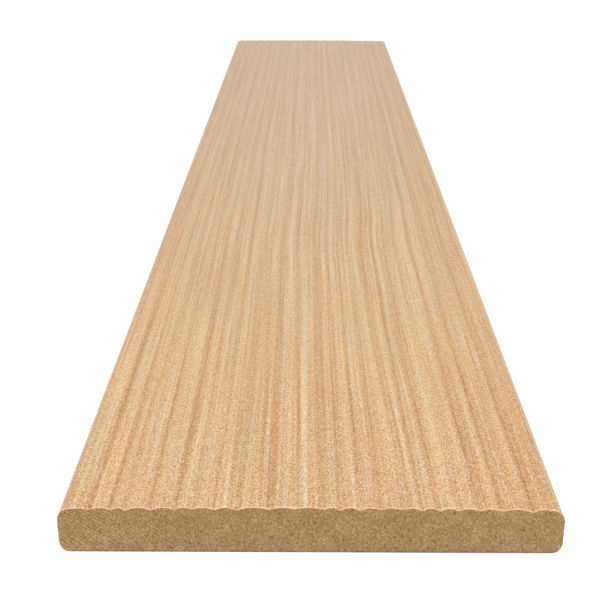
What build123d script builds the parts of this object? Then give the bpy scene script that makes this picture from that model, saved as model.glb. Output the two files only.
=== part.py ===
"""A solid composite fence board, as it comes from the saw.

The board is one extruded bar of wood fibre and polyethylene. Its back is flat, its two
edges lean in slightly towards the back, and its four long corners are eased. The face is
rolled with a wood grain: broad low ridges with narrow valleys between them, which run the
length of the board. Both ends are sawn square.

The board lies on its back. X is across it, Y along it and Z up, with the origin at the
middle of the back. All sizes are in millimetres.
"""

from build123d import *

import math
import os

# The board as it is sold: six feet long, five and a half inches wide, half an inch thick
board_length = 1828.8
board_width = 139.7
board_thickness = 12.7

# The section's edges and corners
edge_lean_angle = 5
face_corner_radius = 3.2
back_corner_radius = 3.2
face_crown = 0.45
shoulder_drop = 0.15
shoulder_land = 0.3

# The rolled grain on the face: the ridges' widths from the left shoulder to the right one, as
# they are on a board of this width, and the valleys between them
ridge_widths = (5.5, 6, 4, 7, 6.5, 5, 6, 6, 9, 7, 8, 4.5, 5.5, 5.5, 6, 5.5, 5, 5, 6, 6, 8.5, 5.5)
valley_depth = 0.8
valley_depth_variation = 0.45
valley_radius = 1.3

# Step in angle that keeps neighbouring valleys from being alike
DEPTH_STEP = 1.4

TOLERANCE = 0.001


def crest_height(across):
    """Height of the ridge tops, which fall away a little from the middle to the edges."""
    return board_thickness - face_crown * (2 * across / board_width) ** 2


def valley_depth_at(number):
    """Depth of one valley below the ridge tops beside it."""
    return valley_depth * (1 - valley_depth_variation * (1 + math.sin(DEPTH_STEP * number)) / 2)


def valley_places(half_shoulder):
    """Distances across the board of the valleys' bottoms, with the two shoulders outside them."""
    scale = 2 * half_shoulder / sum(ridge_widths)
    places = [-half_shoulder]
    for ridge in ridge_widths:
        places.append(places[-1] + ridge * scale)
    return places


def board_section():
    """The section across the board, with its ridges, before it is given its length."""
    half_shoulder = board_width / 2 - face_corner_radius - shoulder_land
    shoulder = crest_height(half_shoulder) - shoulder_drop
    places = valley_places(half_shoulder)
    valleys = [(x, crest_height(x) - valley_depth_at(k)) for k, x in enumerate(places)]
    valleys[0] = (-half_shoulder, shoulder)
    valleys[-1] = (half_shoulder, shoulder)

    # The rounded corner of a leaning edge is widest a little inside the sharp one
    lean = math.radians(edge_lean_angle)
    inset = face_corner_radius * (math.tan(lean) + 1 / math.cos(lean) - 1)
    half_face = board_width / 2 + inset
    half_back = half_face - shoulder * math.tan(lean)

    with BuildSketch(Plane.XZ) as section:
        with BuildLine():
            Polyline(
                valleys[0],
                (-half_face, shoulder),
                (-half_back, 0),
                (half_back, 0),
                (half_face, shoulder),
                valleys[-1],
            )
            for left, right in zip(valleys[:-1], valleys[1:]):
                middle = (left[0] + right[0]) / 2
                ThreePointArc(left, (middle, crest_height(middle)), right)
        make_face()

        # In the sketch's own plane, Y is the board's height
        fillet([v for v in section.vertices() if v.Y < TOLERANCE], back_corner_radius)
        face_corners = [v for v in section.vertices() if abs(v.X) > half_face - TOLERANCE]
        fillet(face_corners, face_corner_radius)
        inner_valleys = [
            v for v in section.vertices()
            if v.Y > face_corner_radius + back_corner_radius
            and places[1] - TOLERANCE < v.X < places[-2] + TOLERANCE
        ]
        fillet(inner_valleys, valley_radius)
    return section.sketch


def fence_board():
    """The whole board."""
    return extrude(board_section(), board_length / 2, both=True)


os.makedirs("parts", exist_ok=True)
export_step(fence_board(), "parts/fence_board.step")
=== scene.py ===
"""A composite fence board on a white studio floor, seen low from its near end.

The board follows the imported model's box. Its rolled grain, its colours and its sawn ends are
made here. Lengths are in metres, with X across the board, Y along it and Z up.
"""

import math

import bpy
import numpy as np
from mathutils import Matrix, Vector


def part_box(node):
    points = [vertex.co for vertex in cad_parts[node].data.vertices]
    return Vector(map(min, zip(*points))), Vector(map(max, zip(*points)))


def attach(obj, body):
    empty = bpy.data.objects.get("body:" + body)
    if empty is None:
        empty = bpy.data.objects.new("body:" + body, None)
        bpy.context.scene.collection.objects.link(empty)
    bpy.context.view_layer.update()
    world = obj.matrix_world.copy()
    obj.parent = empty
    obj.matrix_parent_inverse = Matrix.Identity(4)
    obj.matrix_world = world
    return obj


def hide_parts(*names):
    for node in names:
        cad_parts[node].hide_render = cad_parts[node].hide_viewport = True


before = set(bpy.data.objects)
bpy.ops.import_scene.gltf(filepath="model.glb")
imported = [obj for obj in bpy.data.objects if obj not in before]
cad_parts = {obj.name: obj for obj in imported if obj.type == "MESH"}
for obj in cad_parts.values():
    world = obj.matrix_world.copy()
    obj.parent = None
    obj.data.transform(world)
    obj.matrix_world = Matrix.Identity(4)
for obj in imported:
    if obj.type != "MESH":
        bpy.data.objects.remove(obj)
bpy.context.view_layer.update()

# The fence board is one bar of wood fibre and polyethylene, pushed through a die. While it is
# still soft, a roll presses the grain into its face: broad low ridges with narrow valleys
# between them, which swerve a little along the board. Both ends are then sawn square.
MM = 0.001
low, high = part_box("fence_board")
LENGTH = high.y - low.y
HALF_WIDTH = high.x
CREST = high.z

FACE_CORNER_RADIUS = 3.2 * MM
BACK_CORNER_RADIUS = 3.2 * MM
EDGE_LEAN = math.radians(5)
FACE_CROWN = 0.45 * MM
SHOULDER_DROP = 0.15 * MM
ARRIS = 0.12 * MM
NEAR = 0.01 * MM

# Widths of the ridges from the left shoulder to the right one, at the near end
RIDGE_WIDTHS = (5.5, 6, 4, 7, 6.5, 5, 6, 6, 9, 7, 8, 4.5, 5.5, 5.5, 6, 5.5, 5, 5, 6, 6, 8.5, 5.5)
VALLEY_DEPTH = 0.7 * MM
VALLEY_DEPTH_VARIATION = 0.45
VALLEY_ROUNDING = 0.5 * MM
RUN_OUT = 1.2 * MM

# Steps in angle, from valley to valley and for each metre, that keep the depth from being even,
# and the share of the depth that is gone at the far end
DEPTH_STEP = 1.4
DEPTH_STEP_ALONG = 3
FAR_LOSS = 0.4

# The face's grid
COLUMNS = 400
ROWS = 190

# Where the grain swerves: how far along the board and across it, how long and how wide the
# swerve is, and how far it carries the grain sideways, all in millimetres
SWERVES = (
    (315, 30, 255, 20, -2.8),
    (510, 25, 85, 45, -1.3),
    (760, -5, 700, 55, -2.4),
    (915, 0, 390, 20, 2.6),
    (1600, 43, 600, 15, 2.5),
)


def swerve(across, along):
    """How far the grain has gone sideways at each place, since the near end."""
    total = 0
    for place, side, reach, spread, shift in SWERVES:
        lengthways = np.exp(-((along / MM - place) / reach) ** 2) - np.exp(-(place / reach) ** 2)
        total = total + shift * lengthways * np.exp(-((across / MM - side) / spread) ** 2)
    return total * MM


def soften(distance):
    """A distance from a valley, rounded off near nought so that the valley has a round bottom."""
    return np.hypot(distance, VALLEY_ROUNDING) - VALLEY_ROUNDING


def grain_at(across, along):
    """Where each point's grain line starts, how near a valley the point is, and its depth there."""
    valleys = SHOULDER * (2 * np.cumsum((0, *RIDGE_WIDTHS)) / sum(RIDGE_WIDTHS) - 1)
    line = across - swerve(across, along)
    number = np.searchsorted(valleys[1:-1], line)
    left, right = valleys[number], valleys[number + 1]
    gap = np.clip(np.minimum(line - left, right - line), 0, None)
    nearest = number + (line - left > right - line)
    turn = DEPTH_STEP * nearest + DEPTH_STEP_ALONG * along
    strength = 1 - VALLEY_DEPTH_VARIATION * (1 + np.sin(turn)) / 2
    strength = strength * (1 - FAR_LOSS * along / LENGTH)
    outermost = (nearest == 0) | (nearest == len(RIDGE_WIDTHS))
    strength = np.where(outermost, SHOULDER_DROP / VALLEY_DEPTH, strength)
    nearness = 1 - soften(gap) / soften((right - left) / 2)
    return line, nearness, strength * nearness ** 2


def places_of(mesh):
    """The places of a mesh's points, as three rows of numbers."""
    places = np.empty(len(mesh.vertices) * 3)
    mesh.vertices.foreach_get("co", places)
    return places.reshape(-1, 3).T


def select_edges(mesh, test):
    """Selects the edges whose two ends both pass a test, and goes back to edit mode."""
    bpy.ops.object.mode_set(mode="OBJECT")
    chosen = test(*places_of(mesh))
    ends = np.empty(len(mesh.edges) * 2, dtype=int)
    mesh.edges.foreach_get("vertices", ends)
    mesh.polygons.foreach_set("select", np.zeros(len(mesh.polygons), dtype=bool))
    mesh.vertices.foreach_set("select", chosen)
    mesh.edges.foreach_set("select", chosen[ends].reshape(-1, 2).all(axis=1))
    bpy.ops.object.mode_set(mode="EDIT")


# The face starts as a flat grid between the board's two shoulders
SHOULDER = HALF_WIDTH - FACE_CORNER_RADIUS
bpy.ops.object.select_all(action="DESELECT")
bpy.ops.mesh.primitive_grid_add(x_subdivisions=COLUMNS, y_subdivisions=ROWS, size=2)
board = bpy.context.object
board.name = "composite_board"
board.location = (0, 0, CREST)
board.scale = (SHOULDER, LENGTH / 2, 1)
bpy.ops.object.transform_apply(location=True, rotation=True, scale=True)
mesh = board.data

# The roll presses each point down by the crown of the face and by its depth in a valley, which
# runs out into an even drop at the shoulders
DEEPEST = FACE_CROWN + VALLEY_DEPTH
across, length, _ = places_of(mesh)
_, _, depth = grain_at(across, length - low.y)
shoulders = np.abs(across) > SHOULDER - NEAR
grained = np.clip((SHOULDER - np.abs(across)) / RUN_OUT, 0, 1)
pressed = FACE_CROWN * (across / HALF_WIDTH) ** 2
pressed = pressed + grained * VALLEY_DEPTH * depth + (1 - grained) * SHOULDER_DROP
relief = board.vertex_groups.new(name="relief")
for number, share in enumerate(pressed / DEEPEST):
    relief.add([number], share, "REPLACE")
bpy.ops.object.modifier_add(type="DISPLACE")
roll = board.modifiers[-1]
roll.vertex_group = relief.name
roll.direction = "Z"
roll.mid_level = 0
roll.strength = -DEEPEST
bpy.ops.object.modifier_apply(modifier=roll.name)
board.vertex_groups.clear()

# Each long side of the face is turned down round its corner, led down the leaning edge and
# turned under round the back corner
shoulder_height = CREST - pressed[shoulders].max()
corner_height = shoulder_height - FACE_CORNER_RADIUS
edge_top = corner_height - FACE_CORNER_RADIUS * math.sin(EDGE_LEAN)
edge_foot = BACK_CORNER_RADIUS * (1 - math.sin(EDGE_LEAN))
inwards = (edge_top - edge_foot) * math.tan(EDGE_LEAN)
back_corner = SHOULDER + (FACE_CORNER_RADIUS - BACK_CORNER_RADIUS) * math.cos(EDGE_LEAN) - inwards
bpy.ops.object.mode_set(mode="EDIT")
bpy.ops.mesh.select_mode(type="EDGE")
for side in (-1, 1):
    select_edges(mesh, lambda x, y, z: side * x > SHOULDER - NEAR)
    bpy.ops.mesh.spin(
        steps=8, angle=-side * (math.pi / 2 + EDGE_LEAN), axis=(0, 1, 0),
        center=(side * SHOULDER, 0, corner_height),
    )
    bpy.ops.mesh.extrude_region_move(
        TRANSFORM_OT_translate={"value": (-side * inwards, 0, edge_foot - edge_top)},
    )
    bpy.ops.mesh.spin(
        steps=6, angle=-side * (math.pi / 2 - EDGE_LEAN), axis=(0, 1, 0),
        center=(side * back_corner, 0, BACK_CORNER_RADIUS),
    )

# The back closes between the two lower edges, and each end closes with one sawn face, whose
# sharp edge is eased
select_edges(mesh, lambda x, y, z: z < NEAR)
bpy.ops.mesh.bridge_edge_loops()
for end in (low.y, high.y):
    select_edges(mesh, lambda x, y, z: abs(y - end) < NEAR)
    bpy.ops.mesh.edge_face_add()
bpy.ops.mesh.select_all(action="SELECT")
bpy.ops.mesh.normals_make_consistent(inside=False)
for end in (low.y, high.y):
    select_edges(mesh, lambda x, y, z: abs(y - end) < NEAR)
    bpy.ops.mesh.bevel(offset=ARRIS, segments=2)
bpy.ops.object.mode_set(mode="OBJECT")

# The grain's lines stay on the board for its colours to follow, also down round its corners,
# where a point counts as midway between a valley and a ridge
BETWEEN = 0.67
across, length, height = places_of(mesh)
line, nearness, _ = grain_at(across, length - low.y)
beyond = np.abs(across) - SHOULDER
turned = FACE_CORNER_RADIUS * np.arctan2(beyond, height - corner_height)
line = np.where(beyond > 0, line + np.sign(across) * (turned - beyond), line)
nearness = np.where(beyond > 0, BETWEEN, nearness)
grain = np.column_stack((line, length - low.y, nearness))
mesh.attributes.new("grain", "FLOAT_VECTOR", "POINT").data.foreach_set("vector", grain.ravel())

# A map of the surface for its textures: the section is unrolled across it, the length runs up
# it with the back beside the face, and the two sawn ends lie side by side in a strip at its top
SIDE_LENGTH = 17 * MM
MAP_MIDDLE = 0.43
MAP_HEIGHT = 0.93
BACK_MIDDLE = 0.93
BACK_HALF_WIDTH = 0.07
END_STARTS = (0.02, 0.52)
END_WIDTH = 0.46
END_BOTTOM = 0.945
END_HEIGHT = 0.05
corners = np.empty(len(mesh.loops), dtype=int)
mesh.loops.foreach_get("vertex_index", corners)
x, y, z = places_of(mesh)[:, corners]
around = np.arctan2(z - shoulder_height / 2, np.abs(x) - SHOULDER / 2)
side_start = math.atan2(shoulder_height / 2, SHOULDER / 2)
side_end = math.atan2(-shoulder_height / 2, back_corner - SHOULDER / 2)
side_share = (side_start - around) / (side_start - side_end)
over = np.where(np.abs(x) < SHOULDER - NEAR, x, np.sign(x) * (SHOULDER + SIDE_LENGTH * side_share))
map_across = MAP_MIDDLE * (1 + over / (SHOULDER + SIDE_LENGTH))
map_places = np.column_stack((map_across, MAP_HEIGHT * (y - low.y) / LENGTH))
for face in mesh.polygons:
    loops = slice(face.loop_start, face.loop_start + face.loop_total)
    if abs(face.center.y) > high.y - ARRIS:
        start = END_STARTS[face.center.y > 0]
        map_places[loops, 0] = start + END_WIDTH * (x[loops] / (2 * HALF_WIDTH) + 0.5)
        map_places[loops, 1] = END_BOTTOM + END_HEIGHT * z[loops] / CREST
    elif face.center.z < NEAR:
        map_places[loops, 0] = BACK_MIDDLE - BACK_HALF_WIDTH * x[loops] / back_corner
mesh.uv_layers.new(name="OFBake").data.foreach_set("uv", map_places.ravel())

bpy.ops.object.shade_smooth_by_angle(angle=math.radians(20))
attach(board, "root")
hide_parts("fence_board")


def paint(red, green, blue):
    """A colour as it looks on a screen, 0 to 255, made into the linear values that a node takes."""
    linear = []
    for value in (red, green, blue):
        share = value / 255
        linear.append(share / 12.92 if share <= 0.04045 else ((share + 0.055) / 1.055) ** 2.4)
    return (*linear, 1)


def add_node(tree, kind, inputs, **settings):
    """A node with its settings, whose inputs are set to values or joined to other nodes' outputs."""
    node = tree.nodes.new(kind)
    for name, value in settings.items():
        setattr(node, name, value)
    for name, value in inputs.items():
        if isinstance(value, bpy.types.NodeSocket):
            tree.links.new(value, node.inputs[name])
        else:
            node.inputs[name].default_value = value
    return node


def new_material(name):
    """An empty material, with its node tree and its shader."""
    material = bpy.data.materials.new(name)
    material.use_nodes = True
    tree = material.node_tree
    shader = tree.nodes["Principled BSDF"]
    return material, tree, shader


def noise(tree, place, across, along, sort, detail=2):
    """Noise with lumps this wide across the board and this long along it; each sort has its own."""
    scaled = add_node(tree, "ShaderNodeMapping", {
        "Vector": place,
        "Location": (0.71 * sort, 0.43 * sort, 0.29 * sort),
        "Scale": (1 / across, 1 / along, 1 / across),
    })
    return add_node(tree, "ShaderNodeTexNoise", {
        "Vector": scaled.outputs["Vector"],
        "Scale": 1,
        "Detail": detail,
    }).outputs["Fac"]


def combine(tree, operation, *values):
    """The result of one sum on two or three values."""
    return add_node(tree, "ShaderNodeMath", dict(enumerate(values)), operation=operation).outputs[0]


def add_up(tree, start, *parts):
    """A start value plus each part's distance from its own middle, times its weight."""
    total = start
    for value, middle, weight in parts:
        from_middle = combine(tree, "SUBTRACT", value, middle)
        total = combine(tree, "MULTIPLY_ADD", from_middle, weight, total)
    return total


def fade(tree, value, start, end, first, last):
    """A weight that goes from the first one to the last as a value goes from its start to its end."""
    return add_node(tree, "ShaderNodeMapRange", {
        "Value": value, "From Min": start, "From Max": end, "To Min": first, "To Max": last,
    }).outputs[0]


def ramp(tree, value, *stops):
    """A colour for each value, from pairs of a value and a colour."""
    node = add_node(tree, "ShaderNodeValToRGB", {"Fac": value})
    while len(node.color_ramp.elements) < len(stops):
        node.color_ramp.elements.new(1)
    for element, (place, colour) in zip(node.color_ramp.elements, stops):
        element.position = place
        element.color = paint(*colour)
    return node.outputs["Color"]


def mix(tree, share, first, second, blend_type="MIX"):
    """Two colours mixed, with a share of the second one."""
    node = add_node(tree, "ShaderNodeMix", {}, data_type="RGBA", blend_type=blend_type)
    for socket, value in ((node.inputs[0], share), (node.inputs[6], first), (node.inputs[7], second)):
        if isinstance(value, bpy.types.NodeSocket):
            tree.links.new(value, socket)
        else:
            socket.default_value = value
    return node.outputs[2]


# The rolled face is streaked along its grain, darker and more orange in the valleys, with fine
# lines, short fibres and flecks of wood over all of it, whose colour also holds painted shade of
# the fine relief. The streaks fade along the board, and the near rim is pale, partly as frayed
# skin and partly as a painted highlight.
skin_material, tree, shader = new_material("board_skin")
grain_place = add_node(tree, "ShaderNodeAttribute", {}, attribute_name="grain").outputs["Vector"]
line, along, nearness = add_node(tree, "ShaderNodeSeparateXYZ", {"Vector": grain_place}).outputs
flat_place = add_node(
    tree, "ShaderNodeVectorMath", {0: grain_place, 1: (1, 1, 0)}, operation="MULTIPLY",
).outputs[0]
evenness = noise(tree, flat_place, 3 * MM, 400 * MM, 1, detail=0)
streaks = noise(tree, flat_place, 1.5 * MM, 500 * MM, 2, detail=0)
threads = noise(tree, flat_place, 0.9 * MM, 450 * MM, 3, detail=0)
lines = noise(tree, flat_place, 0.5 * MM, 150 * MM, 4, detail=0)
fibres = noise(tree, flat_place, 0.45 * MM, 7 * MM, 5)
flecks = noise(tree, flat_place, 0.42 * MM, 1.6 * MM, 6)
hue = noise(tree, flat_place, 2.2 * MM, 150 * MM, 7)
stain = combine(tree, "SUBTRACT", combine(tree, "POWER", nearness, 4), 0.2)
stain = combine(tree, "MULTIPLY", stain, add_up(tree, 1, (evenness, 0.5, 1.3)))
side = combine(tree, "POWER", combine(tree, "DIVIDE", line, HALF_WIDTH), 2)
streaked = add_up(
    tree, 0, (stain, 0, -0.073), (streaks, 0.5, 0.152), (threads, 0.5, 0.17), (lines, 0.5, 0.19),
)
streaked = combine(tree, "MULTIPLY", streaked, fade(tree, along, 0.25, 1.8, 1, 0.5))
# Flecks of wood, whose colour also paints the shade of the fine relief
flecks_and_painted_relief_shade = add_up(tree, 0, (fibres, 0.5, 0.13), (flecks, 0.5, 0.98))
flecks_and_painted_relief_shade = combine(tree, "MULTIPLY", flecks_and_painted_relief_shade, fade(tree, along, 0.04, 0.2, 1, 0.86))
# A painted highlight, together with the fray, along the face's near rim
rim_fray_and_painted_highlight = fade(tree, along, 0.4 * MM, 1.8 * MM, 0.14, 0)
tone = add_up(tree, 0.524, (streaked, 0, 1), (side, 0, -0.03), (flecks_and_painted_relief_shade, 0, 1), (rim_fray_and_painted_highlight, 0, 1))
colour = ramp(
    tree, tone,
    (0, (122, 50, 20)), (0.25, (173, 107, 40)), (0.375, (197, 141, 74)), (0.5, (219, 172, 116)),
    (0.625, (236, 200, 155)), (0.75, (249, 224, 189)), (1, (254, 248, 232)),
)
warmer = mix(tree, 1, colour, (1.05, 1, 0.86, 1), "MULTIPLY")
cooler = mix(tree, 1, colour, (0.95, 1, 1.08, 1), "MULTIPLY")
colour = mix(tree, add_up(tree, 0.55, (hue, 0.5, 2.6), (side, 0, -0.15)), warmer, cooler)

# Round the corners the grain fades out, into edges and a back that are as the die leaves them,
# with faint lines along the board
place = add_node(tree, "ShaderNodeTexCoord", {}).outputs["Object"]
height = add_node(tree, "ShaderNodeSeparateXYZ", {"Vector": place}).outputs["Z"]
rolled = fade(tree, height, CREST - 4.5 * MM, CREST - 1.5 * MM, 0, 1)
die_lines = noise(tree, place, 0.8 * MM, 120 * MM, 8)
clouds = noise(tree, place, 9 * MM, 60 * MM, 9)
grains = noise(tree, place, 0.4 * MM, 1.2 * MM, 10)
tone = add_up(tree, 0.5, (die_lines, 0.5, 0.6), (clouds, 0.5, 0.4), (grains, 0.5, 0.7))
plain = ramp(tree, tone, (0, (184, 136, 84)), (0.5, (211, 166, 112)), (1, (232, 194, 144)))
colour = mix(tree, rolled, plain, colour)
tree.links.new(colour, shader.inputs["Base Color"])
shader.inputs["Roughness"].default_value = 0.65
shader.inputs["Specular IOR Level"].default_value = 0
shader.inputs["Coat Weight"].default_value = 0.43
shader.inputs["Coat Roughness"].default_value = 0.13
shader.inputs["Coat IOR"].default_value = 1.2
relief_height = add_up(
    tree, 0.5, (threads, 0.5, 0.8), (lines, 0.5, 0.8), (fibres, 0.5, 0.5), (flecks, 0.5, 0.4),
)
relief_height = combine(tree, "MULTIPLY", relief_height, rolled)
relief_height = add_up(tree, relief_height, (die_lines, 0.5, 0.2), (grains, 0.5, 0.1))
bump = add_node(tree, "ShaderNodeBump", {"Height": relief_height, "Strength": 1, "Distance": 0.12 * MM})
tree.links.new(bump.outputs["Normal"], shader.inputs["Normal"])
mesh.materials.append(skin_material)

# The sawn ends show the board's darker core, further darkened by painted shade, speckled with
# grains of wood, with a few small pits and the slanting marks of the saw's teeth, which are
# clearest near the left side. A painted shadow darkens the lower edge.
SAW_SLANT = math.radians(-30)
SAW_PITCH = 0.9 * MM
end_material, tree, shader = new_material("sawn_end")
place = add_node(tree, "ShaderNodeTexCoord", {}).outputs["Object"]
grains = noise(tree, place, 0.5 * MM, 0.5 * MM, 1, detail=3)
clouds = noise(tree, place, 7 * MM, 7 * MM, 2)
pits = noise(tree, place, 0.8 * MM, 0.8 * MM, 3, detail=0)
slant = add_node(
    tree, "ShaderNodeMapping", {"Vector": place, "Rotation": (0, SAW_SLANT, 0)},
).outputs["Vector"]
saw_marks = add_node(tree, "ShaderNodeTexWave", {
    "Vector": slant, "Scale": math.pi / 10 / SAW_PITCH, "Distortion": 3, "Detail": 2, "Detail Scale": 1,
}, bands_direction="Z").outputs["Fac"]
across, _, height = add_node(tree, "ShaderNodeSeparateXYZ", {"Vector": place}).outputs
clearness = fade(tree, across, -65 * MM, -30 * MM, 1, 0.1)
marks = combine(tree, "MULTIPLY", combine(tree, "SUBTRACT", saw_marks, 0.5), clearness)
# A painted contact shadow along the ends' lower edge
painted_bottom_shadow = fade(tree, height, 0, 0.7 * MM, 1, 0)
tone = add_up(tree, 0.5, (grains, 0.5, 1.27), (clouds, 0.5, 0.25), (marks, 0, 0.22), (painted_bottom_shadow, 0, -0.25))
tone = combine(tree, "SUBTRACT", tone, fade(tree, pits, 0.68, 0.8, 0, 0.28))
# The ramp holds the core's own darker colour together with painted shade
colour = ramp(tree, tone, (0, (112, 77, 38)), (0.5, (168, 132, 87)), (1, (222, 186, 138)))
tree.links.new(colour, shader.inputs["Base Color"])
shader.inputs["Roughness"].default_value = 0.75
bump = add_node(tree, "ShaderNodeBump", {"Height": tone, "Strength": 1, "Distance": 0.1 * MM})
tree.links.new(bump.outputs["Normal"], shader.inputs["Normal"])
mesh.materials.append(end_material)

# The saw leaves a slightly frayed line along the ends' upper sharp edges; its pale colour is partly the
# fray and partly a painted highlight
fray_and_highlight_material, tree, shader = new_material("frayed_and_highlit_edge")
place = add_node(tree, "ShaderNodeTexCoord", {}).outputs["Object"]
fray_and_highlight = noise(tree, place, 0.7 * MM, 0.7 * MM, 1, detail=3)
colour = ramp(tree, fray_and_highlight, (0.35, (226, 180, 128)), (0.6, (250, 212, 162)))
tree.links.new(colour, shader.inputs["Base Color"])
shader.inputs["Roughness"].default_value = 0.8
mesh.materials.append(fray_and_highlight_material)

BOARD_SKIN, SAWN_END, FRAYED_AND_HIGHLIT_EDGE = range(3)
# The ends' upward-facing arris takes the pale edge with its painted highlight, the rest of the ends the
# sawn colour
for face in mesh.polygons:
    if abs(face.center.y) > high.y - ARRIS:
        face.material_index = FRAYED_AND_HIGHLIT_EDGE if face.normal.z > 0.3 else SAWN_END

# The floor is a white sweep of board that runs out of sight in every direction.
# The camera and reflections see it plain white, but for the board's own soft shadow.
FLOOR_SIZE = 60
FLOOR_WHITE = 0.8
SEEN_WHITE = 0.3
SEEN_GLOW = 0.82
bpy.ops.object.select_all(action="DESELECT")
bpy.ops.mesh.primitive_plane_add(size=FLOOR_SIZE, location=(0, 0, -0.01 * MM))
floor = bpy.context.object
floor.name = "studio_floor"
floor_material, tree, shader = new_material("studio_white")
rays = add_node(tree, "ShaderNodeLightPath", {})
seen = combine(tree, "MAXIMUM", rays.outputs["Is Camera Ray"], rays.outputs["Is Glossy Ray"])
seen = combine(tree, "MAXIMUM", seen, rays.outputs["Is Transmission Ray"])
white = add_node(tree, "ShaderNodeMix", {0: seen, "A": FLOOR_WHITE, "B": SEEN_WHITE}, data_type="FLOAT")
grey = add_node(tree, "ShaderNodeCombineColor", {k: white.outputs[0] for k in ("Red", "Green", "Blue")})
tree.links.new(grey.outputs[0], shader.inputs["Base Color"])
shader.inputs["Roughness"].default_value = 1
shader.inputs["Specular IOR Level"].default_value = 0
shader.inputs["Emission Color"].default_value = (1, 1, 1, 1)
glow = combine(tree, "MULTIPLY", seen, SEEN_GLOW)
tree.links.new(glow, shader.inputs["Emission Strength"])
floor.data.materials.append(floor_material)

# The surroundings are white to the camera and in reflections, and dimmer as a light
SKY_LIGHT = 0.6
world = bpy.data.worlds.new("studio")
bpy.context.scene.world = world
world.use_nodes = True
tree = world.node_tree
background = tree.nodes["Background"]
background.inputs["Color"].default_value = (1, 1, 1, 1)
rays = add_node(tree, "ShaderNodeLightPath", {})
seen = combine(tree, "MAXIMUM", rays.outputs["Is Camera Ray"], rays.outputs["Is Glossy Ray"])
seen = combine(tree, "MAXIMUM", seen, rays.outputs["Is Transmission Ray"])
strength = add_node(tree, "ShaderNodeMix", {0: seen, "A": SKY_LIGHT, "B": 1.0}, data_type="FLOAT")
tree.links.new(strength.outputs[0], background.inputs["Strength"])

# One wide soft lamp hangs before the near end, above the camera, and faces the board
LAMP_POWER = 36
LAMP_PLACE = Vector((0.3, -2.3, 2.1))
LAMP_AIM = Vector((0, -0.4, 0))
bpy.ops.object.light_add(
    type="AREA", location=LAMP_PLACE, rotation=(LAMP_PLACE - LAMP_AIM).to_track_quat("Z", "Y").to_euler(),
)
lamp = bpy.context.object
lamp.data.shape = "RECTANGLE"
lamp.data.size = 2.0
lamp.data.size_y = 1.5
lamp.data.energy = LAMP_POWER

# The camera stands low before the near end, where the photograph was taken from
FOCAL_PIXELS = 2688
PICTURE_PIXELS = 616
CAMERA_PLACE = (-0.00065, low.y - 0.7184, CREST + 0.1783)
CAMERA_PITCH = math.radians(9.693)
CAMERA_YAW = math.radians(-0.032)
CAMERA_ROLL = math.radians(0.227)
bpy.ops.object.camera_add()
camera = bpy.context.object
camera.data.lens = camera.data.sensor_width * FOCAL_PIXELS / PICTURE_PIXELS
camera.data.clip_end = 100
turn = (
    Matrix.Rotation(-CAMERA_YAW, 4, "Z")
    @ Matrix.Rotation(math.pi / 2 - CAMERA_PITCH, 4, "X")
    @ Matrix.Rotation(CAMERA_ROLL, 4, "Z")
)
camera.matrix_world = Matrix.Translation(CAMERA_PLACE) @ turn
bpy.context.scene.camera = camera
bpy.context.scene.view_settings.view_transform = "Standard"
